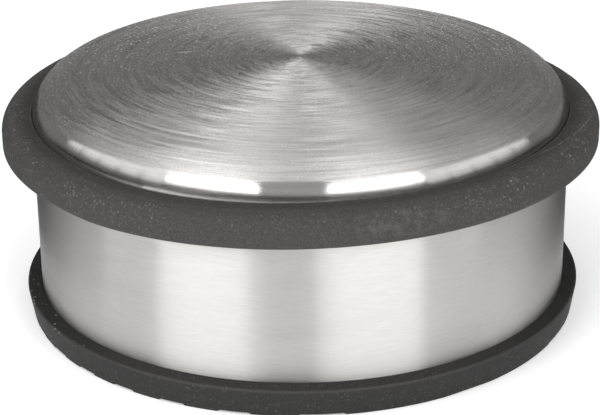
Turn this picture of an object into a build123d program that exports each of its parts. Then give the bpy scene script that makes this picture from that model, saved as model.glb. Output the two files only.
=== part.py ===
"""Weighted floor door stop: a domed steel cup with a rubber bumper ring, an iron weight and a ribbed rubber base.

Millimetres. +Z is up, the floor is at z = 0 and the axis of the cup is the Z axis.
"""

import os
from math import asin, atan2, ceil, cos, degrees, radians, sqrt, tan

from build123d import *

# Steel cup
shell_diameter = 90.0
total_height = 42.5
sheet = 0.8
dome_radius = 350.0
rim_radius = 6.8
groove_depth = 3.6
groove_width = 2.2
bend_inner = 0.4
nook_radius = 0.6

# Rubber bumper ring
ring_rise = 1.03
ring_height = 5.7
ring_reach = 5.0
ring_top_slope = 1.0
ring_under_slope = 5.0
ring_upper_round = 2.4
ring_lower_round = 0.8
ring_lip_round = 0.3
seat_gap = 0.1

# Rubber base
base_height = 5.0
lip_reach = 2.5
lip_fall = 0.25
lip_round = 0.35
foot_reach = 1.7
foot_round = 0.3
pad_rise = 1.0
slot_depth = 2.0
slot_gap = 0.1

# Tread under the base
tread_rib = 4.18
tread_groove = 4.17
tread_depth = 0.4
tread_flank = 25.0
tread_angle = 33.7
tread_shift = 1.675

# Iron weight
weight_gap = 0.3
weight_draft = 1.5
weight_round = 2.0

# The dome runs into the rim, which is widest at the height of its centre
shell_r = shell_diameter / 2
shell_foot = base_height - slot_depth
dome_centre = total_height - dome_radius
rim_r = shell_r - rim_radius
rim_z = dome_centre + sqrt((dome_radius - rim_radius) ** 2 - rim_r**2)
rim_angle = degrees(atan2(rim_z - dome_centre, rim_r))

# The ring's top face stands a little above the rim's widest line, and the groove is at the ring's mid height
ring_top = rim_z + ring_rise
ring_base = ring_top - ring_height
groove_r = shell_r - groove_depth
groove_bottom = ring_base + (ring_height - groove_width) / 2
groove_top = groove_bottom + groove_width

# The rim tucks under into the groove
bend_radius = bend_inner + sheet
tuck_z = groove_top + bend_radius
tuck_angle = degrees(asin((tuck_z - rim_z) / (rim_radius - bend_radius)))
tuck_r = rim_r + (rim_radius - bend_radius) * cos(radians(tuck_angle))


def cup_line(inset):
    """Draws the cup's outline from crown to foot, moved inwards by the inset, and returns its two ends."""
    dome = CenterArc((0, dome_centre), dome_radius - inset, 90, rim_angle - 90)
    CenterArc((rim_r, rim_z), rim_radius - inset, rim_angle, tuck_angle - rim_angle)
    tuck = CenterArc((tuck_r, tuck_z), bend_radius - inset, tuck_angle, -90 - tuck_angle)
    upper_nook = CenterArc((groove_r + nook_radius, groove_top - nook_radius), nook_radius + inset, 90, 90)
    lower_nook = CenterArc((groove_r + nook_radius, groove_bottom + nook_radius), nook_radius + inset, 180, 90)
    shoulder = CenterArc((shell_r - bend_radius, groove_bottom - bend_radius), bend_radius - inset, 90, -90)
    Line(tuck @ 1, upper_nook @ 0)
    Line(upper_nook @ 1, lower_nook @ 0)
    Line(lower_nook @ 1, shoulder @ 0)
    wall = Line(shoulder @ 1, (shell_r - inset, shell_foot))
    return dome @ 0, wall @ 1


os.makedirs("parts", exist_ok=True)

# Steel cup, one thickness of sheet all round
with BuildPart() as steel_shell:
    with BuildSketch(Plane.XZ):
        with BuildLine():
            crown, foot = cup_line(0)
            inner_crown, inner_foot = cup_line(sheet)
            Line(crown, inner_crown)
            Line(foot, inner_foot)
        make_face()
    revolve(axis=Axis.Z)

# Bumper ring: a round-shouldered head, and a lug that fills the cup's groove
ring_r = shell_r + ring_reach
upper_round = min(ring_upper_round, ring_reach / 2, ring_height / 2)
lower_round = min(ring_lower_round, ring_reach / 4, ring_height / 4)


def ring_face(height, slope, radius):
    """Point at a radius on a face that leaves the cup's wall at the height and falls outwards by the slope."""
    return (radius, height - (radius - shell_r) * tan(radians(slope)))


with BuildPart() as bumper_ring:
    with BuildSketch(Plane.XZ) as ring_section:
        with BuildLine():
            Polyline(
                ring_face(ring_top, ring_top_slope, groove_r),
                ring_face(ring_top, ring_top_slope, ring_r),
                ring_face(ring_base, -ring_under_slope, ring_r),
                ring_face(ring_base, -ring_under_slope, groove_r),
                close=True,
            )
        make_face()
        lower_corner, upper_corner = ring_section.vertices().group_by(Axis.X)[-1].sort_by(Axis.Y)
        fillet(upper_corner, upper_round)
        fillet(lower_corner, lower_round)
        with BuildLine():
            crown, foot = cup_line(-seat_gap)
            Polyline(crown, (0, shell_foot), foot)
        make_face(mode=Mode.SUBTRACT)
        lip_place = ring_face(ring_top, ring_top_slope, shell_r)
        lip_corner = ring_section.vertices().sort_by_distance(lip_place)[0]
        fillet(lip_corner, ring_lip_round)
    revolve(axis=Axis.Z)

# Rubber base: tapered side, lip, slot for the cup's edge and a pad inside the cup
foot_r = shell_r + foot_reach
lip_r = shell_r + lip_reach
slot_outer = shell_r + slot_gap
slot_inner = shell_r - sheet - slot_gap
pad_height = base_height + pad_rise

# The tread's grooves run right across the base, side by side from edge to edge
tread_pitch = tread_rib + tread_groove
groove_reach = ceil((foot_r + abs(tread_shift)) / tread_pitch)
groove_count = 2 * groove_reach + 1
groove_length = 2 * (lip_r + tread_pitch)

with BuildPart() as rubber_base:
    with BuildSketch(Plane.XZ) as base_section:
        with BuildLine():
            Polyline(
                (0, 0),
                (foot_r, 0),
                (lip_r, base_height - lip_fall),
                (slot_outer, base_height),
                (slot_outer, shell_foot),
                (slot_inner, shell_foot),
                (slot_inner, pad_height),
                (0, pad_height),
                close=True,
            )
        make_face()
        edge_corner, foot_corner = base_section.vertices().sort_by(Axis.X)[:-3:-1]
        fillet(edge_corner, lip_round)
        fillet(foot_corner, foot_round)
    revolve(axis=Axis.Z)
    with BuildSketch(Plane.XY.rotated((0, 0, tread_angle))):
        with Locations((0, tread_shift)):
            with GridLocations(tread_pitch, tread_pitch, 1, groove_count):
                Rectangle(groove_length, tread_groove)
    extrude(amount=tread_depth, taper=tread_flank, mode=Mode.SUBTRACT)

# Iron weight, between the base's pad and the underside of the groove
weight_r = shell_r - sheet - weight_gap
weight_top = groove_bottom - sheet - weight_gap

with BuildPart() as iron_weight:
    with BuildSketch(Plane.XY.offset(pad_height)):
        Circle(weight_r)
    extrude(amount=weight_top - pad_height, taper=weight_draft)
    fillet(iron_weight.edges().filter_by(GeomType.CIRCLE), weight_round)

steel_shell.part.label = "steel_shell"
bumper_ring.part.label = "bumper_ring"
rubber_base.part.label = "rubber_base"
iron_weight.part.label = "iron_weight"

export_step(steel_shell.part, "parts/steel_shell.step")
export_step(bumper_ring.part, "parts/bumper_ring.step")
export_step(rubber_base.part, "parts/rubber_base.step")
export_step(iron_weight.part, "parts/iron_weight.step")
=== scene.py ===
"""Weighted floor door stop: a brushed steel cup, a rubber bumper ring and a ribbed rubber base.

Laid out as an add-on and run as a script. Geometry Nodes turn and cut the pieces, which stand for the CAD
nodes, and the stage lights them softly. Metres and degrees. +Z is up, the floor is at z = 0 and the axis
of the cup is the Z axis.
"""

from functools import partialmethod
from math import asin, atan2, ceil, cos, degrees, pi, radians, sin, sqrt, tan

import bpy
from bpy.props import FloatProperty, FloatVectorProperty, PointerProperty
from bpy.types import Operator, Panel, PropertyGroup
from mathutils import Matrix, Vector


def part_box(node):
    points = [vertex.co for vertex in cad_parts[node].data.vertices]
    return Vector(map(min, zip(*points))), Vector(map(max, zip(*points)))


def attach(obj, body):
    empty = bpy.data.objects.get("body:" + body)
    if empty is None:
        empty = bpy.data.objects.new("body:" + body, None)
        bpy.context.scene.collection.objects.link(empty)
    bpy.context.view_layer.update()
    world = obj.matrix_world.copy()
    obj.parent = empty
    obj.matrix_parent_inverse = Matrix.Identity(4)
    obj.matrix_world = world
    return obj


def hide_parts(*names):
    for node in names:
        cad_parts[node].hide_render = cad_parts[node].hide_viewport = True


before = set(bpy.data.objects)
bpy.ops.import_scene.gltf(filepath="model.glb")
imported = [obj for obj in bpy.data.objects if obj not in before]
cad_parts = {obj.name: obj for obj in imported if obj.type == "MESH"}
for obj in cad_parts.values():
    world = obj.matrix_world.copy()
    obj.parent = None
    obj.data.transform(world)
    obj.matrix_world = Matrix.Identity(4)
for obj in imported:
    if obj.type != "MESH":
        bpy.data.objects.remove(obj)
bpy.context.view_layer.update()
cup_low, cup_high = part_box("steel_shell")
_, ring_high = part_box("bumper_ring")

bl_info = {
    "name": "Floor Door Stop",
    "version": (1, 0, 0),
    "blender": (4, 5, 0),
    "location": "3D View > Sidebar > Door Stop",
    "description": "Builds a weighted floor door stop of brushed steel and rubber",
    "category": "Mesh",
}

MM = 0.001

# Width of the photograph in pixels
IMAGE_WIDTH = 600

# Turned forms: segments all round, angles from which an edge stays sharp, and how close points are joined
SEGMENTS = 360
TURNED_CREASE = radians(50)
TREAD_CREASE = radians(40)
JOIN_DISTANCE = 1e-6

# Where the soft ring starts to move and moves in full: out from the wall, below its face, and on its left
LOOSE_BESIDE = (0.2 * MM, 1.2 * MM)
LOOSE_BELOW = (1.2 * MM, 0.3 * MM)
LEFT_SIDE = (-0.6, -0.82)
RING_SEED = 3.0

# Steps of each arc in the sections
DOME_STEPS = 40
RIM_STEPS = 28
TUCK_STEPS = 12
NOOK_STEPS = 6
SHOULDER_STEPS = 10
RING_LIP_STEPS = 5
RING_UPPER_STEPS = 16
RING_LOWER_STEPS = 8
BASE_LIP_STEPS = 6
BASE_FOOT_STEPS = 5

# Flecks and strokes are full up to this share of their size or width, and fade out beyond
FLECK_CORE = 0.4
STROKE_CORE = 0.25


def length(name, description, default):
    """A size in metres."""
    return FloatProperty(
        name=name, description=description, default=default, precision=5, unit="LENGTH", subtype="DISTANCE"
    )


def angle(name, description, default):
    """An angle, given in degrees and kept in radians."""
    return FloatProperty(
        name=name, description=description, default=radians(default), unit="ROTATION", subtype="ANGLE"
    )


def share(name, description, default):
    """A number from 0 to 1."""
    return FloatProperty(
        name=name, description=description, default=default, min=0, max=1, subtype="FACTOR"
    )


def colour(name, description, default):
    """A scene-linear colour."""
    return FloatVectorProperty(
        name=name, description=description, default=default, size=3, min=0, max=1, subtype="COLOR"
    )


class CupSettings(PropertyGroup):
    """Sizes and finish of the steel cup."""

    radius: length("Radius", "Outer radius of the wall", cup_high.x)
    crown: length("Crown", "Height of the dome's top", cup_high.z)
    foot: length("Foot", "Height of the wall's lower edge", cup_low.z)
    sheet: length("Sheet", "Thickness of the steel", 0.8 * MM)
    dome_radius: length("Dome radius", "Radius of the shallow dome", 350 * MM)
    rim_radius: length("Rim radius", "Radius of the rolled rim", 6.8 * MM)
    groove_depth: length("Groove depth", "Depth of the ring's groove", 3.6 * MM)
    groove_width: length("Groove width", "Height of the ring's groove", 2.2 * MM)
    bend_radius: length("Bend radius", "Outer radius of the bends beside the groove", 1.2 * MM)
    nook_radius: length("Nook radius", "Radius in the groove's corners", 0.6 * MM)
    light_steel: colour("Light steel", "Colour of the bright brush lines", (0.76, 0.745, 0.724))
    dark_steel: colour("Dark steel", "Colour of the dull brush lines", (0.45, 0.438, 0.422))
    dust: colour("Dust", "Colour of the motes on the dome", (0.9, 0.88, 0.86))
    brushed: share("Brushed roughness", "Roughness of the dome", 0.39)
    wall: share("Wall roughness", "Roughness of the wall", 0.35)
    burnished: share("Burnished roughness", "Roughness of the lower rim", 0.17)


class RingSettings(PropertyGroup):
    """Sizes and finish of the bumper ring."""

    top: length("Top", "Height of the upper face at the cup", 34.6 * MM)
    height: length("Height", "Height of the ring beside the cup", 5.7 * MM)
    radius: length("Radius", "Outer radius", ring_high.x)
    top_slope: angle("Top slope", "How much the upper face falls outwards", 1)
    under_slope: angle("Under slope", "How much the underside rises outwards", 5)
    upper_round: length("Upper round", "Radius of the upper shoulder", 2.4 * MM)
    lower_round: length("Lower round", "Radius of the lower edge", 0.8 * MM)
    lip_round: length("Lip round", "Radius of the edge beside the dome's rim", 0.12 * MM)
    seat_gap: length("Seat gap", "Gap between the ring and the cup", 0.02 * MM)
    lean: length("Lean", "Rise of the ring's right side", 0.1 * MM)
    twist: length("Twist", "Rise at front right and back left, and fall between", 0.32 * MM)
    left_rise: length("Left rise", "Push upwards on the left side", 0.42 * MM)
    waviness: length("Waviness", "Wander of the ring up and down", 0.15 * MM)
    rubber: colour("Rubber", "Colour of the clean rubber", (0.048, 0.046, 0.0434))
    dust: colour("Dust", "Colour of the dust on the rubber", (0.34, 0.325, 0.305))


class BaseSettings(PropertyGroup):
    """Sizes and finish of the ribbed base."""

    height: length("Height", "Height of the lip beside the cup", 5 * MM)
    lip_reach: length("Lip reach", "Reach of the lip from the wall", 2.5 * MM)
    lip_fall: length("Lip fall", "How much the lip's top falls outwards", 0.25 * MM)
    lip_round: length("Lip round", "Radius of the lip's edge", 0.35 * MM)
    foot_reach: length("Foot reach", "Reach of the foot from the wall", 1.7 * MM)
    foot_round: length("Foot round", "Radius of the foot's edge", 0.3 * MM)
    pad_rise: length("Pad rise", "Height of the pad above the lip", 1 * MM)
    slot_gap: length("Slot gap", "Gap on each side of the steel in its slot", 0.1 * MM)
    tread_rib: length("Tread rib", "Width of a rib under the base", 4.18 * MM)
    tread_groove: length("Tread groove", "Width of a groove under the base", 4.17 * MM)
    tread_depth: length("Tread depth", "Depth of the grooves", 0.4 * MM)
    tread_flank: angle("Tread flank", "Slope of the grooves' sides", 25)
    tread_angle: angle("Tread angle", "Direction of the grooves, from the X axis", 33.7)
    tread_shift: length("Tread shift", "Distance of the middle groove from the axis", 1.675 * MM)
    rubber: colour("Rubber", "Colour of the clean rubber", (0.024, 0.0235, 0.023))
    dust: colour("Dust", "Colour of the dust on the rubber", (0.26, 0.25, 0.23))


class WeightSettings(PropertyGroup):
    """Finish of the iron weight inside the cup."""

    iron: colour("Iron", "Colour of the cast iron", (0.12, 0.115, 0.11))
    rust: colour("Rust", "Colour of the rust blooms", (0.16, 0.085, 0.05))


class StageSettings(PropertyGroup):
    """Floor, lamps and camera."""

    floor: colour("Floor", "Colour of the floor", (0.95, 0.95, 0.95))
    floor_lift: share("Floor lift", "Brightness added in sight and in mirrors", 0.27)
    surround: colour("Surround", "Colour of the dim room round the lamps", (0.255, 0.255, 0.255))
    floor_radius: length("Floor radius", "Radius of the round floor", 12)
    lamp_distance: length("Lamp distance", "Distance of the lamps from the origin", 0.9)
    camera_distance: length("Camera distance", "Distance from the centre of view", 328.915 * MM)
    camera_centre: length("Camera centre", "Height of the camera's centre of view", 20 * MM)
    camera_elevation: angle("Camera elevation", "Angle of the camera above the floor", 22.139)
    camera_pan: angle("Camera pan", "Turn of the camera to the right", -0.045)
    camera_tilt: angle("Camera tilt", "Turn of the camera downwards", 0.796)
    camera_roll: angle("Camera roll", "Turn of the camera about its line of sight", -0.651)
    focal_pixels: FloatProperty(
        name="Focal length", description="Focal length in image pixels", default=1917.8, subtype="PIXEL"
    )


class Desk:
    """Lays out nodes in a tree and joins them up."""

    def __init__(self, tree):
        self.tree = tree

    def add(self, kind, inputs=(), **settings):
        """Adds a node with its settings, and feeds the inputs that are given by name or place."""
        node = self.tree.nodes.new(kind)
        for setting, value in settings.items():
            setattr(node, setting, value)
        for socket, value in dict(inputs).items():
            if isinstance(value, bpy.types.NodeSocket):
                self.tree.links.new(value, node.inputs[socket])
            else:
                node.inputs[socket].default_value = value
        return node

    def make(self, kind, inputs=(), **settings):
        """The first output of a new node."""
        return self.add(kind, inputs, **settings).outputs[0]

    def maths(self, operation, *values):
        """Result of a sum on numbers."""
        return self.make("ShaderNodeMath", enumerate(values), operation=operation)

    def chain(self, operation, first, *others):
        """Result of the same sum on several numbers, one after another."""
        for other in others:
            first = self.maths(operation, first, other)
        return first

    # Product, sum, difference and largest of numbers
    times = partialmethod(chain, "MULTIPLY")
    plus = partialmethod(chain, "ADD")
    less = partialmethod(chain, "SUBTRACT")
    most = partialmethod(chain, "MAXIMUM")

    def centred(self, noise):
        """Noise from -0.5 to 0.5."""
        return self.less(noise, 0.5)

    def vector(self, operation, *values):
        """Result of a sum on vectors."""
        node = self.add("ShaderNodeVectorMath", enumerate(values), operation=operation)
        return node.outputs["Value" if operation in ("LENGTH", "DOT_PRODUCT") else "Vector"]

    def combine(self, x, y, z):
        """A vector from three numbers."""
        return self.make("ShaderNodeCombineXYZ", enumerate((x, y, z)))

    def split(self, vector):
        """The three numbers of a vector."""
        return self.add("ShaderNodeSeparateXYZ", {0: vector}).outputs

    def ramp(self, value, low, high, start=0.0, end=1.0):
        """Goes smoothly from start to end while the value goes from low to high."""
        inputs = enumerate((value, low, high, start, end))
        return self.make("ShaderNodeMapRange", inputs, interpolation_type="SMOOTHSTEP")

    def noise(self, vector, size, detail, roughness):
        """Soft noise from 0 to 1, with blotches of a size."""
        inputs = {"Vector": vector, "Scale": 1 / size, "Detail": detail, "Roughness": roughness}
        return self.make("ShaderNodeTexNoise", inputs)

    def flecks(self, vector, spacing, size, chance, strength):
        """Scattered round flecks: the strength inside a fleck and 0 outside."""
        cells = self.add("ShaderNodeTexVoronoi", {"Vector": vector, "Scale": 1 / spacing})
        chosen = self.maths("LESS_THAN", self.split(cells.outputs["Color"])[0], chance)
        spot = self.ramp(cells.outputs["Distance"], size / spacing, FLECK_CORE * size / spacing)
        return self.times(chosen, spot, strength)

    def stroke(self, vector, start, end, width, strength):
        """A thin straight mark between two points: the strength on it and 0 beside it."""
        run = Vector(end) - Vector(start)
        gone = self.vector("SUBTRACT", vector, start)
        part = self.maths("DIVIDE", self.vector("DOT_PRODUCT", gone, run), run.length_squared)
        nearest = self.vector("MULTIPLY", self.make("ShaderNodeClamp", {0: part}), run)
        away = self.vector("LENGTH", self.vector("SUBTRACT", gone, nearest))
        return self.times(self.ramp(away, 0.5 * width, STROKE_CORE * width), strength)

    def mix(self, factor, first, second):
        """A colour between two colours."""
        inputs = {0: factor, 6: first, 7: second}
        return self.add("ShaderNodeMix", inputs, data_type="RGBA").outputs[2]

    def blend(self, factor, first, second):
        """A number between two numbers."""
        return self.make("ShaderNodeMix", {0: factor, 2: first, 3: second}, data_type="FLOAT")

    def bump(self, height, depth, strength=1.0):
        """A normal that follows a height from 0 to 1 over a depth in metres."""
        inputs = {"Strength": strength, "Distance": depth, "Height": height}
        return self.make("ShaderNodeBump", inputs)

    def soften(self, geometry, crease):
        """Smooth shading, with sharp edges where the faces turn by more than the crease angle."""
        turn = self.add("GeometryNodeInputMeshEdgeAngle").outputs["Unsigned Angle"]
        smooth = self.maths("LESS_THAN", turn, crease)
        faces = self.add("GeometryNodeSetShadeSmooth", {"Geometry": geometry}, domain="FACE")
        edges = {"Geometry": faces.outputs[0], "Shade Smooth": smooth}
        return self.make("GeometryNodeSetShadeSmooth", edges, domain="EDGE")

    def hand_over(self, geometry, material):
        """Ends a geometry tree: plain mesh, with its material, to the output."""
        plain = self.make("GeometryNodeRealizeInstances", {"Geometry": geometry})
        dressed = self.make("GeometryNodeSetMaterial", {"Geometry": plain, "Material": material})
        self.add("NodeGroupOutput", {0: dressed})

    def surface(self, **inputs):
        """Ends a material: one Principled shader with these inputs, to the output."""
        named = {}
        for name, value in inputs.items():
            named[name.replace("_", " ").title().replace("Ior", "IOR")] = value
        shader = self.add("ShaderNodeBsdfPrincipled", named)
        self.add("ShaderNodeOutputMaterial", {"Surface": shader.outputs[0]})


def geometry_desk(name, counts, sizes):
    """The desk and the inputs of a new geometry tree, which takes a mesh, counts, sizes and a material."""
    tree = bpy.data.node_groups.new(name, "GeometryNodeTree")
    tree.interface.new_socket("Geometry", in_out="OUTPUT", socket_type="NodeSocketGeometry")
    inputs = {"Geometry": ["Geometry"], "Int": counts, "Float": sizes, "Material": ["Material"]}
    for kind, sockets in inputs.items():
        for socket in sockets:
            tree.interface.new_socket(socket, in_out="INPUT", socket_type="NodeSocket" + kind)
    desk = Desk(tree)
    return desk, desk.add("NodeGroupInput").outputs


def material_desk(name):
    """A new empty material and the desk for its nodes."""
    material = bpy.data.materials.new(name)
    material.use_nodes = True
    material.node_tree.nodes.clear()
    return material, Desk(material.node_tree)


def turning_tree():
    """Turns a line of points about the Z axis into a closed skin, and lets a soft one lean and wander."""
    moves = ["Lean", "Twist", "Left Rise", "Waviness", "Seed"]
    bounds = ["Inner Radius", "Outer Radius", "Lower Height", "Upper Height"]
    desk, given = geometry_desk("Turned form", ["Segments"], ["Crease", *moves, *bounds])
    line = given["Geometry"]
    size = desk.add("GeometryNodeAttributeDomainSize", {"Geometry": line}, component="MESH")
    count = size.outputs["Point Count"]
    columns = desk.plus(given["Segments"], 1)
    grid = desk.add("GeometryNodeMeshGrid", {"Vertices X": columns, "Vertices Y": count}).outputs["Mesh"]

    number = desk.make("GeometryNodeInputIndex")
    along = desk.make("FunctionNodeIntegerMath", {0: number, 1: count}, operation="MODULO")
    column = desk.make("FunctionNodeIntegerMath", {0: number, 1: count}, operation="DIVIDE_FLOOR")
    place = desk.make("GeometryNodeInputPosition")
    picked = {"Geometry": line, "Value": place, "Index": along}
    point = desk.make("GeometryNodeSampleIndex", picked, data_type="FLOAT_VECTOR")
    turn = desk.times(desk.maths("DIVIDE", column, given["Segments"]), 2 * pi)
    turned = {"Vector": point, "Angle": turn}
    round_place = desk.make("ShaderNodeVectorRotate", turned, rotation_type="Z_AXIS")
    skin = desk.make("GeometryNodeSetPosition", {"Geometry": grid, "Position": round_place})
    outside = desk.make("GeometryNodeFlipFaces", {"Mesh": skin})
    seam = {"Geometry": outside, "Distance": JOIN_DISTANCE}
    closed = desk.make("GeometryNodeMergeByDistance", seam)

    x, y, z = desk.split(place)
    flat = desk.combine(x, y, 0.0)
    outwards = desk.vector("NORMALIZE", flat)
    beside = desk.ramp(desk.vector("LENGTH", flat), given["Inner Radius"], given["Outer Radius"])
    above = desk.ramp(z, given["Lower Height"], given["Upper Height"])
    reach = desk.most(beside, above)
    wander = desk.noise(desk.vector("ADD", outwards, given["Seed"]), *RING_WANDER)
    rise = desk.times(desk.centred(wander), given["Waviness"])
    to_right, to_back, _ = desk.split(outwards)
    tip = desk.times(to_right, given["Lean"])
    # 1 at front right and back left, and -1 between
    quarters = desk.times(to_right, to_back, -2.0)
    bend = desk.times(quarters, given["Twist"])
    pushed = desk.ramp(to_right, *LEFT_SIDE, 0.0, given["Left Rise"])
    shift = desk.plus(desk.plus(rise, pushed), desk.plus(tip, bend))
    loose = {"Geometry": closed, "Offset": desk.combine(0.0, 0.0, desk.times(shift, reach))}
    settled = desk.make("GeometryNodeSetPosition", loose)
    desk.hand_over(desk.soften(settled, given["Crease"]), given["Material"])
    return desk.tree


def tread_tree():
    """Cuts a row of grooves with sloped sides across the underside of a base."""
    sizes = ["Pitch", "Width", "Depth", "Flank", "Length", "Angle", "Shift", "Crease"]
    desk, given = geometry_desk("Tread", ["Grooves"], sizes)
    depth = desk.times(given["Depth"], 2.0)
    # The middle row of points lies at the floor, and the sides slope from there up
    block = {"Size": desk.combine(given["Length"], given["Width"], depth), "Vertices Z": 3}
    bar = desk.add("GeometryNodeMeshCube", block).outputs["Mesh"]
    _, y, z = desk.split(desk.make("GeometryNodeInputPosition"))
    slope = desk.times(desk.most(z, 0.0), desk.maths("TANGENT", given["Flank"]))
    inwards = desk.times(desk.maths("SIGN", y), desk.times(slope, -1.0))
    flanked = {"Geometry": bar, "Offset": desk.combine(0.0, inwards, 0.0)}
    cutter = desk.make("GeometryNodeSetPosition", flanked)

    half = desk.times(desk.less(given["Grooves"], 1.0), 0.5)
    first = desk.less(given["Shift"], desk.times(half, given["Pitch"]))
    row = {
        "Count": given["Grooves"],
        "Start Location": desk.combine(0.0, first, 0.0),
        "Offset": desk.combine(0.0, given["Pitch"], 0.0),
    }
    line = desk.add("GeometryNodeMeshLine", row).outputs["Mesh"]
    placed = desk.make("GeometryNodeInstanceOnPoints", {"Points": line, "Instance": cutter})
    cutters = desk.make("GeometryNodeRealizeInstances", {"Geometry": placed})
    turned = {"Geometry": cutters, "Rotation": desk.combine(0.0, 0.0, given["Angle"])}
    across = desk.make("GeometryNodeTransform", turned)
    pair = {"Mesh 1": given["Geometry"], "Mesh 2": across}
    cut = desk.add("GeometryNodeMeshBoolean", pair, operation="DIFFERENCE", solver="EXACT").outputs["Mesh"]
    desk.hand_over(desk.soften(cut, given["Crease"]), given["Material"])
    return desk.tree


def arc(centre, radius, start, stop, steps):
    """Points of an arc in the (radius, height) plane, from start to stop in degrees."""
    points = []
    for step in range(steps + 1):
        turn = radians(start + (stop - start) * step / steps)
        points.append((centre[0] + radius * cos(turn), centre[1] + radius * sin(turn)))
    return points


def rounded(before, corner, after, radius, steps):
    """Points of the arc that rounds off a corner of an outline."""
    corner = Vector(corner)
    back = (Vector(before) - corner).normalized()
    ahead = (Vector(after) - corner).normalized()
    half = back.angle(ahead) / 2
    middle = (back + ahead).normalized()
    centre = corner + middle * (radius / sin(half))
    first = corner + back * (radius / tan(half)) - centre
    last = corner + ahead * (radius / tan(half)) - centre
    return [tuple(centre + first.slerp(last, step / steps) * radius) for step in range(steps + 1)]


def cup_line(cup, ring, inset):
    """The cup's outline from crown to foot, moved inwards by the inset."""
    groove_r = cup.radius - cup.groove_depth
    groove_bottom = ring.top - ring.height + (ring.height - cup.groove_width) / 2
    groove_top = groove_bottom + cup.groove_width
    dome_centre = cup.crown - cup.dome_radius
    rim_r = cup.radius - cup.rim_radius
    rim_z = dome_centre + sqrt((cup.dome_radius - cup.rim_radius) ** 2 - rim_r**2)
    rim_angle = degrees(atan2(rim_z - dome_centre, rim_r))
    tuck_z = groove_top + cup.bend_radius
    tuck_turn = asin((tuck_z - rim_z) / (cup.rim_radius - cup.bend_radius))
    tuck_r = rim_r + (cup.rim_radius - cup.bend_radius) * cos(tuck_turn)
    tuck_angle = degrees(tuck_turn)
    nook_r = groove_r + cup.nook_radius
    shoulder = (cup.radius - cup.bend_radius, groove_bottom - cup.bend_radius)
    return [
        *arc((0, dome_centre), cup.dome_radius - inset, 90, rim_angle, DOME_STEPS),
        *arc((rim_r, rim_z), cup.rim_radius - inset, rim_angle, tuck_angle, RIM_STEPS)[1:],
        *arc((tuck_r, tuck_z), cup.bend_radius - inset, tuck_angle, -90, TUCK_STEPS)[1:],
        *arc((nook_r, groove_top - cup.nook_radius), cup.nook_radius + inset, 90, 180, NOOK_STEPS),
        *arc((nook_r, groove_bottom + cup.nook_radius), cup.nook_radius + inset, 180, 270, NOOK_STEPS),
        *arc(shoulder, cup.bend_radius - inset, 90, 0, SHOULDER_STEPS),
        (cup.radius - inset, cup.foot),
    ]


def cup_outline(cup, ring):
    """Section of the cup's one sheet: outside from crown to foot, and back up the inside."""
    return [*cup_line(cup, ring, 0), *reversed(cup_line(cup, ring, cup.sheet))]


def ring_outline(cup, ring):
    """Section of the ring: sloped faces and round shoulders outside, the cup's own line inside."""

    def top_face(radius):
        return ring.top - (radius - cup.radius) * tan(ring.top_slope)

    def under_face(radius):
        return ring.top - ring.height + (radius - cup.radius) * tan(ring.under_slope)

    cup_side = cup_line(cup, ring, -ring.seat_gap)
    inside = [point for point in cup_side if under_face(point[0]) < point[1] < top_face(point[0])]
    top_inner = (inside[0][0], top_face(inside[0][0]))
    top_outer = (ring.radius, top_face(ring.radius))
    under_outer = (ring.radius, under_face(ring.radius))
    wall = cup.radius + ring.seat_gap
    under_inner = (wall, under_face(wall))
    lip = rounded(inside[0], top_inner, top_outer, ring.lip_round, RING_LIP_STEPS)
    return [
        *lip,
        *rounded(top_inner, top_outer, under_outer, ring.upper_round, RING_UPPER_STEPS),
        *rounded(top_outer, under_outer, under_inner, ring.lower_round, RING_LOWER_STEPS),
        under_inner,
        *reversed(inside[1:]),
        lip[0],
    ]


def base_outline(cup, base):
    """Section of the base: pad, slot for the cup's edge, lip, tapered side and underside."""
    slot_inner = cup.radius - cup.sheet - base.slot_gap
    slot_outer = cup.radius + base.slot_gap
    pad = base.height + base.pad_rise
    lip_inner = (slot_outer, base.height)
    lip = (cup.radius + base.lip_reach, base.height - base.lip_fall)
    foot = (cup.radius + base.foot_reach, 0)
    return [
        (0, pad),
        (slot_inner, pad),
        (slot_inner, cup.foot),
        (slot_outer, cup.foot),
        lip_inner,
        *rounded(lip_inner, lip, foot, base.lip_round, BASE_LIP_STEPS),
        *rounded(lip, foot, (0, 0), base.foot_round, BASE_FOOT_STEPS),
        (0, 0),
    ]


def place_object(name, data):
    """A new object in the scene, with its mesh, lamp or camera."""
    thing = bpy.data.objects.new(name, data)
    bpy.context.scene.collection.objects.link(thing)
    return thing


def line_mesh(name, outline):
    """A mesh of loose points along an outline of (radius, height)."""
    mesh = bpy.data.meshes.new(name)
    mesh.from_pydata([(radius, 0, height) for radius, height in outline], [], [])
    return mesh


def run_trees(name, mesh, *steps):
    """Runs trees on a mesh, each with its inputs by name, and returns a plain mesh object."""
    piece = place_object(name, mesh)
    for tree, values in steps:
        modifier = piece.modifiers.new(tree.name, "NODES")
        modifier.node_group = tree
        for socket in tree.interface.items_tree:
            if socket.in_out == "INPUT" and socket.name in values:
                modifier[socket.identifier] = values[socket.name]
    depsgraph = bpy.context.evaluated_depsgraph_get()
    made = bpy.data.meshes.new_from_object(piece.evaluated_get(depsgraph), depsgraph=depsgraph)
    piece.modifiers.clear()
    piece.data = made
    made.name = name
    made.materials.clear()
    made.materials.append(steps[-1][1]["Material"])
    made.polygons.foreach_set("material_index", [0] * len(made.polygons))
    if not made.polygons:
        raise RuntimeError(f"{name} came out with no faces")
    return piece


def seat(piece, node):
    """Puts a finished piece in the place of its CAD node."""
    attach(piece, "root")
    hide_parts(node)


def mm(*sizes):
    """A point given in millimetres."""
    return tuple(size * MM for size in sizes)


def tint(paint, part=1.0):
    """A colour for a node, darker or lighter by a factor."""
    return (*[part * value for value in paint], 1)


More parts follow.
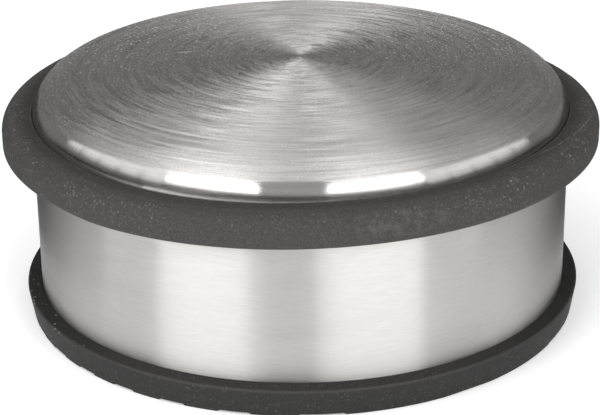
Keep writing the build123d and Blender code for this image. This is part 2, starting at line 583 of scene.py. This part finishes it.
# Noise: size of its blotches, detail and roughness
RING_WANDER = (0.625, 1.0, 0.5)
STEEL_GRAIN = (0.22 * MM, 2.0, 0.6)
RUBBER_PATCHES = (7 * MM, 3.0, 0.6)
RUBBER_MOTTLE = (0.9 * MM, 3.0, 0.65)
RUBBER_GRAIN = (0.25 * MM, 3.0, 0.65)
SEAM_BREAKS = (0.6 * MM, 1.0, 0.5)
SMEAR_STREAKS = (1.5 * MM, 3.0, 0.6)
IRON_SAND = (0.6 * MM, 4.0, 0.6)
IRON_BLOOMS = (12 * MM, 4.0, 0.65)

# Flecks: spacing, size, chance of one at each place, and strength
STEEL_MOTES = (0.75 * MM, 0.26 * MM, 0.45, 0.36)
STEEL_CRUMBS = (2.2 * MM, 0.28 * MM, 0.35, 0.4)
RUBBER_SPECKS = (0.55 * MM, 0.22 * MM, 0.5, 0.32)
RUBBER_CRUMBS = (1.5 * MM, 0.27 * MM, 0.3, 0.5)
RUBBER_LINT = (4.2 * MM, 0.24 * MM, 0.3, 0.8)
LIP_CRUMBS = (1.1 * MM, 0.3 * MM, 0.4, 1.0)

# Strokes: both ends, width and strength
SCRATCH = (mm(-20.6, 4.5, 41.9), mm(-18.4, 4.5, 42), 0.3 * MM, 0.6)
SCRATCH_TAIL = (mm(-18.4, 4.5, 42), mm(-15.2, 4.3, 42.2), 0.25 * MM, 0.15)
SMEAR = (mm(10, -49.3, 32.6), mm(20, -46.2, 32.8), 6 * MM, 1.0)

# Brush lines in the steel: width, length and detail
HAIR_LINES = (0.14 * MM, 3 * MM, 1.0)
FINE_LINES = (0.2 * MM, 9 * MM, 2.0)
MEDIUM_LINES = (0.7 * MM, 16 * MM, 3.0)
BROAD_LINES = (3 * MM, 40 * MM, 1.0)
LINE_ROUGHNESS = 0.6
LINE_DEPTH = 0.035 * MM
LINE_WOBBLE = 0.8
WALL_LINE_DEPTH = 0.2
MEDIUM_SHARE = 0.6
DOME_GRAIN = 0.38
WALL_GRAIN = 0.3

# The brush turns along Y beside the axis, so that the dark fans meet in a blunt point
CROWN_SPREAD = 0.5 * MM

# The highlight lies across the brush lines, a quarter of a full turn from them
QUARTER_TURN = 0.25

# Zones of the cup: two heights in rim radii below the crown
TOP_ZONE = (1.6, 1.2)
RIM_ZONE = (0.66, 0.76)
SMOOTH_ZONE = (0.9, 1.03)
SMOOTH_SHARE = 0.7

# Changes from the front to the back of the dome: two places in cup radii, and the values there
LINE_CONTRAST = (-0.9, 0.2, 0.4, 1.5)
DOME_FINISH = (-0.6, 0.8, 1.07, 0.9)
DUST_DRIFT = (-0.3, 0.6, 0.45, 1.9)

# Other ramps: two measures, and the values there if not 0 and 1
FAN_LINES = (0.1, 0.7, 0.28, 0.85)
DOME_LINES = (-0.09, 0.09)
WALL_LINES = (0.2, 0.8, 0.22, 0.46)
PATCHY_FINISH = (0.25, 0.75, -0.02, 0.02)
DUSTY_PATCHES = (0.35, 0.7, 0.35, 1.0)
DUST_FILM = (0.45, 0.8, 0.0, 0.15)
GRAIN_TONE = (0.3, 0.7)
RUBBER_ROUGHNESS = (0.3, 0.7, 0.6, 0.78)
RUST_TONE = (0.55, 0.75)
IRON_ROUGHNESS = (0.3, 0.7, 0.5, 0.8)

# Rubber: tones of the grain, tone of painted shade, dust left off there, gloss and depth of the grain
RUBBER_TONES = (0.75, 1.25)
PAINTED_SHADE_TONE = 0.5
SHADE_DUST_CUT = 0.8
RUBBER_GLOSS = 0.25
RUBBER_DEPTH = 0.08 * MM
RUBBER_BUMP = 0.6
MOTTLE_SHARE = 0.4

# Mould line on the ring: where it starts, how far it turns, and how far it lies out from the wall at first
# and gains as it turns
SEAM_START = radians(52)
SEAM_TURN = radians(34)
SEAM_OUT = 0.55 * MM
SEAM_GROWTH = 6.3 * MM
SEAM_FADE_IN = (0.0, 0.1)
SEAM_FADE_OUT = (SEAM_TURN, 0.7 * SEAM_TURN)
SEAM_WIDTH = (0.12 * MM, 0.05 * MM)
SEAM_TONE = (0.4, 0.6, 0.05, 0.4)

# Ramps on the ring: out from the wall, below the upper face, away from the middle, and over the smear
# Painted highlight: lighter rubber along the lip beside the cup
LIP_HIGHLIGHT = (0.4 * MM, 0.0, 0.0, 0.06)
# Painted shade: darker rubber on the upper face beside the cup's rim, over the next two ramps
NOOK_PAINTED_SHADE = (3.4 * MM, 0.5 * MM)
RING_PAINTED_SHADE = (1.5 * MM, 1.0 * MM, 0.0, 0.8)
FACE_DUST = (3.5 * MM, 0.5 * MM, 0.6, 1.0)
SIDE_DUST = (12 * MM, 40 * MM, 0.45, 1.35)
SMEAR_TONE = (0.4, 0.7, 0.0, 0.09)

# Ramps on the base: in from the lip's edge, down from it, and to the sides in edge radii
EDGE_INSIDE = (0.45 * MM, 0.15 * MM)
EDGE_UNDER = (0.5 * MM, 0.2 * MM)
LEFT_CRUMBS = (-0.6, -0.9, 0.0, 0.7)
# Painted shade: darker top of the lip towards the sides
LIP_PAINTED_SHADE = (0.4, 0.95, 0.0, 0.7)
# Lighter edge of the lip: wear and a painted highlight
EDGE_WEAR_AND_HIGHLIGHT = 0.08
BASE_DUSTING = 0.45

# Iron: share of bare metal, and depth and strength of the sand's grain
IRON_METALLIC = 0.5
IRON_DEPTH = 0.15 * MM
IRON_BUMP = 0.8


def brushed_steel(cup):
    """Steel brushed in circles: coarse on the dome, fine on the wall, burnished on the rim, with dust."""
    material, desk = material_desk("Brushed steel")
    place = desk.add("ShaderNodeTexCoord").outputs["Object"]
    x, y, z = desk.split(place)
    flat = desk.combine(x, y, 0.0)
    radius = desk.vector("LENGTH", flat)
    outwards = desk.vector("NORMALIZE", flat)
    down = desk.less(radius, z)

    def brush_lines(width, reach, detail):
        """Noise drawn out into lines round the axis, of a width and a length on the wall."""
        across = desk.combine(0.0, 0.0, desk.maths("DIVIDE", down, width))
        around = desk.vector("MULTIPLY", outwards, (cup.radius / reach,) * 3)
        return desk.noise(desk.vector("ADD", across, around), 1.0, detail, LINE_ROUGHNESS)

    def below_crown(first, second):
        """Goes from 0 to 1 between two heights."""
        return desk.ramp(z, cup.crown - first * cup.rim_radius, cup.crown - second * cup.rim_radius)

    def front_to_back(first, second, start, end):
        """Goes from start to end between two places."""
        return desk.ramp(y, first * cup.radius, second * cup.radius, start, end)

    hair = brush_lines(*HAIR_LINES)
    coarse = desk.blend(MEDIUM_SHARE, brush_lines(*FINE_LINES), brush_lines(*MEDIUM_LINES))
    grain = desk.noise(place, *STEEL_GRAIN)
    on_top = below_crown(*TOP_ZONE)
    rim = desk.times(on_top, below_crown(*RIM_ZONE))
    on_dome = desk.less(on_top, rim)

    fan = desk.maths("ABSOLUTE", desk.maths("DIVIDE", y, radius))
    strokes = desk.times(desk.centred(coarse), desk.ramp(fan, *FAN_LINES))
    rubbed = desk.plus(strokes, desk.times(desk.centred(grain), DOME_GRAIN))
    dome_lines = desk.ramp(desk.times(rubbed, front_to_back(*LINE_CONTRAST)), *DOME_LINES)
    wall_lines = desk.ramp(desk.blend(WALL_GRAIN, hair, grain), *WALL_LINES)
    lines = desk.blend(on_dome, wall_lines, dome_lines)
    depth = desk.ramp(on_dome, 0.0, 1.0, WALL_LINE_DEPTH, 1.0)

    rolled = desk.blend(below_crown(*SMOOTH_ZONE), cup.burnished, SMOOTH_SHARE * cup.burnished)
    domed = desk.times(front_to_back(*DOME_FINISH), cup.brushed)
    finish = desk.blend(rim, desk.blend(on_top, cup.wall, domed), rolled)
    patchy = desk.ramp(desk.blend(on_top, brush_lines(*BROAD_LINES), coarse), *PATCHY_FINISH)

    aside = desk.plus(x, desk.times(desk.maths("SIGN", x), CROWN_SPREAD))
    circle = desk.vector("NORMALIZE", desk.combine(desk.times(y, -1.0), aside, 0.0))
    facing = desk.add("ShaderNodeNewGeometry").outputs["Normal"]
    wobble = desk.times(desk.centred(coarse), desk.times(on_dome, LINE_WOBBLE))
    turned = {"Vector": circle, "Axis": facing, "Angle": wobble}

    scattered = desk.most(desk.flecks(place, *STEEL_MOTES), desk.flecks(place, *STEEL_CRUMBS))
    drift = desk.times(front_to_back(*DUST_DRIFT), on_dome)
    marks = desk.most(desk.stroke(place, *SCRATCH), desk.stroke(place, *SCRATCH_TAIL))
    dust = desk.most(desk.times(scattered, drift), marks)
    steel = desk.mix(lines, tint(cup.dark_steel), tint(cup.light_steel))
    desk.surface(
        base_color=desk.mix(dust, steel, tint(cup.dust)),
        metallic=desk.less(1.0, dust),
        roughness=desk.plus(finish, patchy),
        anisotropic=1.0,
        anisotropic_rotation=QUARTER_TURN,
        tangent=desk.make("ShaderNodeVectorRotate", turned),
        normal=desk.bump(desk.times(lines, depth), LINE_DEPTH),
    )
    return material


def rubber_surface(desk, place, rubber, dust, marks_and_highlight, painted_shade, dusting):
    """Matt moulded rubber with a fine grain, scattered dust, worn marks, painted highlights, and painted
    shade with less dust under it.
    """
    mottle = desk.noise(place, *RUBBER_MOTTLE)
    grain = desk.noise(place, *RUBBER_GRAIN)
    dusty = desk.ramp(desk.noise(place, *RUBBER_PATCHES), *DUSTY_PATCHES)
    film = desk.times(dusty, desk.ramp(mottle, *DUST_FILM))
    scattered = desk.most(desk.flecks(place, *RUBBER_SPECKS), desk.flecks(place, *RUBBER_CRUMBS))
    lint = desk.flecks(place, *RUBBER_LINT)
    settled = desk.most(desk.times(scattered, dusty), lint, film)
    # Where shade is painted, less dust lies and the rubber is darker
    dust_outside_shade = desk.less(1.0, desk.times(painted_shade, SHADE_DUST_CUT))
    # Dust, marks and painted highlights mix in the dust's colour
    dust_and_highlight = desk.most(desk.times(settled, desk.times(dust_outside_shade, dusting)), marks_and_highlight)
    dull, bright = (tint(rubber, part) for part in RUBBER_TONES)
    tone = desk.mix(desk.ramp(grain, *GRAIN_TONE), dull, bright)
    shade = desk.mix(painted_shade, tone, tint(rubber, PAINTED_SHADE_TONE))
    desk.surface(
        base_color=desk.mix(dust_and_highlight, shade, tint(dust)),
        roughness=desk.ramp(mottle, *RUBBER_ROUGHNESS),
        specular_ior_level=RUBBER_GLOSS,
        normal=desk.bump(desk.blend(MOTTLE_SHARE, grain, mottle), RUBBER_DEPTH, RUBBER_BUMP),
    )


def ring_rubber(cup, ring):
    """Ring rubber: painted lip highlight and rim shade, a mould line on the right, a smear in front, dust
    at the sides.
    """
    material, desk = material_desk("Ring rubber")
    place = desk.add("ShaderNodeTexCoord").outputs["Object"]
    x, y, z = desk.split(place)
    out = desk.less(desk.vector("LENGTH", desk.combine(x, y, 0.0)), cup.radius)
    below = desk.less(ring.top, z)

    azimuth = desk.maths("ARCTAN2", x, desk.times(y, -1.0))
    past = desk.less(azimuth, SEAM_START)
    line = desk.plus(desk.times(past, SEAM_GROWTH), SEAM_OUT)
    away = desk.maths("ABSOLUTE", desk.less(out, line))
    ends = desk.times(desk.ramp(past, *SEAM_FADE_IN), desk.ramp(past, *SEAM_FADE_OUT))
    broken = desk.ramp(desk.noise(place, *SEAM_BREAKS), *SEAM_TONE)
    seam = desk.times(ends, broken, desk.ramp(away, *SEAM_WIDTH))

    streaks = desk.ramp(desk.noise(place, *SMEAR_STREAKS), *SMEAR_TONE)
    smear = desk.times(desk.stroke(place, *SMEAR), streaks)
    # Painted highlight along the lip by the cup, with the mould line and the smear as real marks
    marks_and_highlight = desk.most(desk.ramp(out, *LIP_HIGHLIGHT), seam, smear)
    # Painted shade on the upper face beside the cup's rim
    painted_shade = desk.times(desk.ramp(out, *NOOK_PAINTED_SHADE), desk.ramp(below, *RING_PAINTED_SHADE))
    at_sides = desk.ramp(desk.maths("ABSOLUTE", x), *SIDE_DUST)
    dusting = desk.times(at_sides, desk.ramp(below, *FACE_DUST))
    rubber_surface(desk, place, ring.rubber, ring.dust, marks_and_highlight, painted_shade, dusting)
    return material


def base_rubber(cup, base):
    """Rubber of the base: lip edge lighter by wear and painted highlight, painted shade at the sides,
    crumbs on the left.
    """
    material, desk = material_desk("Base rubber")
    place = desk.add("ShaderNodeTexCoord").outputs["Object"]
    x, y, z = desk.split(place)
    edge_r = cup.radius + base.lip_reach
    inside = desk.less(edge_r, desk.vector("LENGTH", desk.combine(x, y, 0.0)))
    under = desk.less(base.height - base.lip_fall, z)
    side = desk.maths("DIVIDE", x, edge_r)
    on_lip = desk.ramp(under, *EDGE_UNDER)
    # Lighter edge of the lip: wear and a painted highlight
    edge = desk.times(desk.ramp(inside, *EDGE_INSIDE), on_lip, EDGE_WEAR_AND_HIGHLIGHT)
    crumbs = desk.times(desk.flecks(place, *LIP_CRUMBS), desk.ramp(side, *LEFT_CRUMBS), on_lip)
    marks_and_highlight = desk.most(edge, crumbs)
    # Painted shade on the lip's top towards the sides
    painted_shade = desk.times(desk.ramp(desk.maths("ABSOLUTE", side), *LIP_PAINTED_SHADE), on_lip)
    rubber_surface(desk, place, base.rubber, base.dust, marks_and_highlight, painted_shade, BASE_DUSTING)
    return material


def cast_iron(weight):
    """Rough sand-cast iron with a few rust blooms."""
    material, desk = material_desk("Cast iron")
    place = desk.add("ShaderNodeTexCoord").outputs["Object"]
    blooms = desk.noise(place, *IRON_BLOOMS)
    desk.surface(
        base_color=desk.mix(desk.ramp(blooms, *RUST_TONE), tint(weight.iron), tint(weight.rust)),
        metallic=IRON_METALLIC,
        roughness=desk.ramp(blooms, *IRON_ROUGHNESS),
        normal=desk.bump(desk.noise(place, *IRON_SAND), IRON_DEPTH, IRON_BUMP),
    )
    return material


def floor_finish(stage):
    """Pale matt floor, lifted where the camera sees it or metal mirrors it."""
    material, desk = material_desk("Pale floor")
    rays = desk.add("ShaderNodeLightPath").outputs
    mirrored = desk.most(rays["Is Glossy Ray"], rays["Is Transmission Ray"])
    seen = desk.most(rays["Is Camera Ray"], mirrored)
    desk.surface(
        base_color=tint(stage.floor),
        roughness=FLOOR_ROUGHNESS,
        specular_ior_level=0.0,
        emission_color=(1, 1, 1, 1),
        emission_strength=desk.times(seen, stage.floor_lift),
    )
    return material


class DOORSTOP_OT_steel_cup(Operator):
    """Turn the steel cup from its section"""

    bl_idname = "doorstop.steel_cup"
    bl_label = "Steel cup"

    def execute(self, context):
        scene = context.scene
        cup = scene.doorstop_cup
        outline = cup_outline(cup, scene.doorstop_ring)
        values = {"Segments": SEGMENTS, "Crease": TURNED_CREASE, "Material": brushed_steel(cup)}
        piece = run_trees("steel_cup", line_mesh("cup line", outline), (turning_tree(), values))
        seat(piece, "steel_shell")
        return {"FINISHED"}


class DOORSTOP_OT_bumper_ring(Operator):
    """Turn the bumper ring round the cup's groove"""

    bl_idname = "doorstop.bumper_ring"
    bl_label = "Bumper ring"

    def execute(self, context):
        scene = context.scene
        cup, ring = scene.doorstop_cup, scene.doorstop_ring
        values = {
            "Segments": SEGMENTS,
            "Crease": TURNED_CREASE,
            "Lean": ring.lean,
            "Twist": ring.twist,
            "Left Rise": ring.left_rise,
            "Waviness": ring.waviness,
            "Inner Radius": cup.radius + LOOSE_BESIDE[0],
            "Outer Radius": cup.radius + LOOSE_BESIDE[1],
            "Lower Height": ring.top - LOOSE_BELOW[0],
            "Upper Height": ring.top - LOOSE_BELOW[1],
            "Seed": RING_SEED,
            "Material": ring_rubber(cup, ring),
        }
        outline = ring_outline(cup, ring)
        piece = run_trees("rubber_ring", line_mesh("ring line", outline), (turning_tree(), values))
        seat(piece, "bumper_ring")
        return {"FINISHED"}


class DOORSTOP_OT_ribbed_base(Operator):
    """Turn the rubber base and cut its tread"""

    bl_idname = "doorstop.ribbed_base"
    bl_label = "Ribbed base"

    def execute(self, context):
        scene = context.scene
        cup, base = scene.doorstop_cup, scene.doorstop_base
        material = base_rubber(cup, base)
        pitch = base.tread_rib + base.tread_groove
        grooves = 2 * ceil((cup.radius + base.foot_reach + abs(base.tread_shift)) / pitch) + 1
        turning = {"Segments": SEGMENTS, "Crease": TURNED_CREASE, "Material": material}
        cutting = {
            "Grooves": grooves,
            "Pitch": pitch,
            "Width": base.tread_groove,
            "Depth": base.tread_depth,
            "Flank": base.tread_flank,
            "Length": 2 * (cup.radius + base.lip_reach + pitch),
            "Angle": base.tread_angle,
            "Shift": base.tread_shift,
            "Crease": TREAD_CREASE,
            "Material": material,
        }
        line = line_mesh("base line", base_outline(cup, base))
        piece = run_trees("ribbed_base", line, (turning_tree(), turning), (tread_tree(), cutting))
        seat(piece, "rubber_base")
        return {"FINISHED"}


class DOORSTOP_OT_iron_weight(Operator):
    """Give the iron weight inside the cup its finish"""

    bl_idname = "doorstop.iron_weight"
    bl_label = "Iron weight"

    def execute(self, context):
        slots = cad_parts["iron_weight"].material_slots
        slots[0].material = cast_iron(context.scene.doorstop_weight)
        return {"FINISHED"}


# Banks of soft panels, as they look from the origin, in degrees: azimuths from the camera's side to the
# right, elevations, brightness, and how many panels stand side by side
PANELS = {
    "left_key": ((-58, -19), (30, 40), 5.5, 3),
    "left_key_foot": ((-58, -17), (23.5, 30), 5.5, 3),
    "right_key": ((12, 52), (30, 40), 5.5, 3),
    "right_key_foot": ((10.2, 52), (23.5, 30), 5.5, 3),
    "front_fill": ((-19, 12), (18, 32), 0.36, 1),
    "front_gap": ((-19, 12), (32, 60), 0.19, 1),
    "left_side": ((-113, -57), (14, 43), 1.08, 5),
    "right_side": ((51, 109), (14, 43), 1.0, 5),
}

# Low panels near the object, which show in the wall and not in the rim
LOW_PANELS = {
    "left_low": ((-50, -18.5), (0.5, 9), 2.8, 1),
    "right_low": ((4.5, 41), (0.5, 9), 2.8, 1),
    "front_low": ((-18.5, 4.5), (0.5, 9), 0.4, 1),
}
LOW_DISTANCE = 130 * MM

# The panel above: its tilt to the right and to the front, and its width and depth, in degrees
OVERHEAD_TILT = (-9, 4)
OVERHEAD_SPAN = (43, 65)
OVERHEAD_BRIGHTNESS = 1.4

# Grey cards beside the object, for the dark edges of the steel: side, and front end of the lower part
CARDS = {"left_card": (-1, -32 * MM), "right_card": (1, -42 * MM)}
CARD_DISTANCE = 62 * MM
CARD_FRONT = -55 * MM
CARD_BACK = 90 * MM
CARD_STEP = 26 * MM
CARD_TOP = 39 * MM

# Ramps of their grey: along the card, and up it in a low and a high part, each lifted along the card
CARD_FADE = (24 * MM, -28 * MM, 0.2, 1.0)
CARD_LOW = (30 * MM, 25 * MM)
CARD_LOW_LIFT = (15 * MM, 0.0, 0.0, 4 * MM)
CARD_HIGH = (32 * MM, 36 * MM, 0.04, 0.4)
CARD_HIGH_LIFT = (0.0, -20 * MM, 0.0, 4 * MM)

# A dark strip on the floor round the front, for the dark line along the rim
STRIP_DISTANCE = 700 * MM
STRIP_TURN = 75
STRIP_STEP = 15
STRIP_TOP = 42 * MM
STRIP_TONE = 0.03

# The room is fully lit above these heights and behind these depths, as parts of a unit direction, and has
# this share of its light low down on the camera's side
ROOM_HEIGHTS = (sin(radians(6)), sin(radians(22)))
ROOM_DEPTHS = (-0.1, 0.4)
ROOM_LOW_SHARE = 0.12

# Floor, and the camera's sensor in millimetres and its range in metres
FLOOR_SEGMENTS = 96
FLOOR_ROUGHNESS = 0.9
SENSOR_WIDTH = 36
CLIP_START = 10 * MM
CLIP_END = 20


def direction(azimuth, elevation):
    """Unit vector to a lamp: azimuth from the camera's side to the right, and elevation, in degrees."""
    across = cos(radians(elevation))
    turn = radians(azimuth)
    return Vector((sin(turn) * across, -cos(turn) * across, sin(radians(elevation))))


def soft_panel(name, towards, distance, width, height, brightness):
    """A lamp panel that faces the object, as wide and high as it looks from there, in degrees."""
    lamp = bpy.data.lights.new(name, "AREA")
    lamp.shape = "RECTANGLE"
    lamp.size = 2 * distance * tan(radians(width / 2))
    lamp.size_y = 2 * distance * tan(radians(height / 2))
    lamp.energy = brightness * pi * lamp.size * lamp.size_y
    panel = place_object(name, lamp)
    panel.location = towards * distance
    panel.rotation_mode = "QUATERNION"
    panel.rotation_quaternion = (-towards).to_track_quat("-Z", "Y")
    panel.visible_camera = False


def hang_panels(panels, distance):
    """Banks of soft panels at one distance."""
    for name, (azimuths, elevations, brightness, count) in panels.items():
        step = (azimuths[1] - azimuths[0]) / count
        middle = sum(elevations) / 2
        width = step * cos(radians(middle))
        height = elevations[1] - elevations[0]
        for number in range(count):
            towards = direction(azimuths[0] + (number + 0.5) * step, middle)
            soft_panel(name, towards, distance, width, height, brightness)


def hang_overhead(distance):
    """The panel above the object."""
    across, along = (radians(tilt) for tilt in OVERHEAD_TILT)
    towards = Vector((tan(across), -tan(along), 1)).normalized()
    soft_panel("overhead", towards, distance, *OVERHEAD_SPAN, OVERHEAD_BRIGHTNESS)


def pale_floor(stage):
    """A wide round floor under the object."""
    mesh = bpy.data.meshes.new("floor")
    edge = []
    for step in range(FLOOR_SEGMENTS):
        turn = 2 * pi * step / FLOOR_SEGMENTS
        edge.append((stage.floor_radius * cos(turn), stage.floor_radius * sin(turn), 0))
    mesh.from_pydata(edge, [], [range(FLOOR_SEGMENTS)])
    mesh.materials.append(floor_finish(stage))
    floor = place_object("floor", mesh)


def card_grey():
    """Grey of the side cards: light low down, dark at the ring's height and lighter above."""
    material, desk = material_desk("Card grey")
    _, y, z = desk.split(desk.add("ShaderNodeTexCoord").outputs["Object"])
    low = desk.ramp(desk.less(z, desk.ramp(y, *CARD_LOW_LIFT)), *CARD_LOW)
    high = desk.ramp(desk.less(z, desk.ramp(y, *CARD_HIGH_LIFT)), *CARD_HIGH)
    tone = desk.most(desk.times(low, desk.ramp(y, *CARD_FADE)), high)
    desk.surface(base_color=desk.combine(tone, tone, tone), roughness=1.0, specular_ior_level=0.0)
    return material


def strip_grey():
    """Near black of the front strip."""
    material, desk = material_desk("Strip grey")
    desk.surface(base_color=tint((STRIP_TONE,) * 3), roughness=1.0, specular_ior_level=0.0)
    return material


def mirrored_card(name, material, faces):
    """Upright cards, each as its four corners, which show in reflections alone."""
    mesh = bpy.data.meshes.new(name)
    corners = [corner for face in faces for corner in face]
    mesh.from_pydata(corners, [], [range(4 * number, 4 * number + 4) for number in range(len(faces))])
    mesh.materials.append(material)
    card = place_object(name, mesh)
    card.visible_camera = False
    card.visible_diffuse = False
    card.visible_shadow = False


def upright(start, stop, low, high):
    """Four corners of an upright card between two places on the floor."""
    return [(*start, low), (*stop, low), (*stop, high), (*start, high)]


def dark_cards():
    """Cards on both sides of the object and a strip round its front."""
    material = card_grey()
    for name, (side, front) in CARDS.items():
        across = side * CARD_DISTANCE
        lower = upright((across, front), (across, CARD_BACK), 0, CARD_STEP)
        upper = upright((across, CARD_FRONT), (across, CARD_BACK), CARD_STEP, CARD_TOP)
        mirrored_card(name, material, [lower, upper])
    turns = range(-STRIP_TURN, STRIP_TURN + 1, STRIP_STEP)
    bends = [STRIP_DISTANCE * direction(turn, 0).xy for turn in turns]
    strip = [upright(start, stop, 0, STRIP_TOP) for start, stop in zip(bends, bends[1:])]
    mirrored_card("front_strip", strip_grey(), strip)


def dim_room(stage):
    """A dim plain room round the lamps, darker low down on the camera's side."""
    world = bpy.data.worlds.new("Dim room")
    world.use_nodes = True
    desk = Desk(world.node_tree)
    _, depth, height = desk.split(desk.add("ShaderNodeTexCoord").outputs["Generated"])
    light = desk.most(desk.ramp(height, *ROOM_HEIGHTS), desk.ramp(depth, *ROOM_DEPTHS))
    tone = desk.mix(light, tint(stage.surround, ROOM_LOW_SHARE), tint(stage.surround))
    world.node_tree.links.new(tone, world.node_tree.nodes["Background"].inputs["Color"])
    bpy.context.scene.world = world


def place_camera(stage):
    """The camera at the photograph's viewing angle."""
    lens = bpy.data.cameras.new("camera")
    lens.sensor_fit = "HORIZONTAL"
    lens.sensor_width = SENSOR_WIDTH
    lens.lens = stage.focal_pixels / IMAGE_WIDTH * SENSOR_WIDTH
    lens.clip_start = CLIP_START
    lens.clip_end = CLIP_END
    rise = stage.camera_elevation
    down = rise + stage.camera_tilt
    look = Vector((0, cos(down), -sin(down)))
    right = Vector((1, 0, 0))
    turn = Matrix.Rotation(-stage.camera_pan, 3, right.cross(look))
    look, right = turn @ look, turn @ right
    up = right.cross(look)
    roll = stage.camera_roll
    right, up = right * cos(roll) + up * sin(roll), up * cos(roll) - right * sin(roll)
    distance = stage.camera_distance
    stand = Vector((0, -distance * cos(rise), stage.camera_centre + distance * sin(rise)))
    axes = Matrix((right, up, -look)).transposed().to_4x4()
    camera = place_object("camera", lens)
    camera.matrix_world = Matrix.Translation(stand) @ axes
    bpy.context.scene.camera = camera


class DOORSTOP_OT_stage(Operator):
    """Set up the floor, the lamps and the camera"""

    bl_idname = "doorstop.stage"
    bl_label = "Stage"

    def execute(self, context):
        stage = context.scene.doorstop_stage
        context.scene.view_settings.view_transform = "Standard"
        pale_floor(stage)
        dim_room(stage)
        hang_panels(PANELS, stage.lamp_distance)
        hang_panels(LOW_PANELS, LOW_DISTANCE)
        hang_overhead(stage.lamp_distance)
        dark_cards()
        place_camera(stage)
        return {"FINISHED"}


class DOORSTOP_PT_tools(Panel):
    """Pieces of the door stop, with their sizes and colours"""

    bl_idname = "DOORSTOP_PT_tools"
    bl_label = "Door Stop"
    bl_space_type = "VIEW_3D"
    bl_region_type = "UI"
    bl_category = "Door Stop"

    def draw(self, context):
        for name, settings, operator in STEPS:
            box = self.layout.box()
            box.operator(operator.bl_idname)
            for setting in settings.__annotations__:
                box.prop(getattr(context.scene, name), setting)


STEPS = [
    ("doorstop_cup", CupSettings, DOORSTOP_OT_steel_cup),
    ("doorstop_ring", RingSettings, DOORSTOP_OT_bumper_ring),
    ("doorstop_base", BaseSettings, DOORSTOP_OT_ribbed_base),
    ("doorstop_weight", WeightSettings, DOORSTOP_OT_iron_weight),
    ("doorstop_stage", StageSettings, DOORSTOP_OT_stage),
]


def register():
    """Registers the settings, the operators and the panel."""
    for name, settings, operator in STEPS:
        bpy.utils.register_class(settings)
        setattr(bpy.types.Scene, name, PointerProperty(type=settings))
        bpy.utils.register_class(operator)
    bpy.utils.register_class(DOORSTOP_PT_tools)


def unregister():
    """Takes away what register added."""
    bpy.utils.unregister_class(DOORSTOP_PT_tools)
    for name, settings, operator in reversed(STEPS):
        bpy.utils.unregister_class(operator)
        delattr(bpy.types.Scene, name)
        bpy.utils.unregister_class(settings)


def main():
    """Builds the pieces and the stage."""
    register()
    for build in (
        bpy.ops.doorstop.steel_cup,
        bpy.ops.doorstop.bumper_ring,
        bpy.ops.doorstop.ribbed_base,
        bpy.ops.doorstop.iron_weight,
        bpy.ops.doorstop.stage,
    ):
        build()


if __name__ == "__main__":
    main()
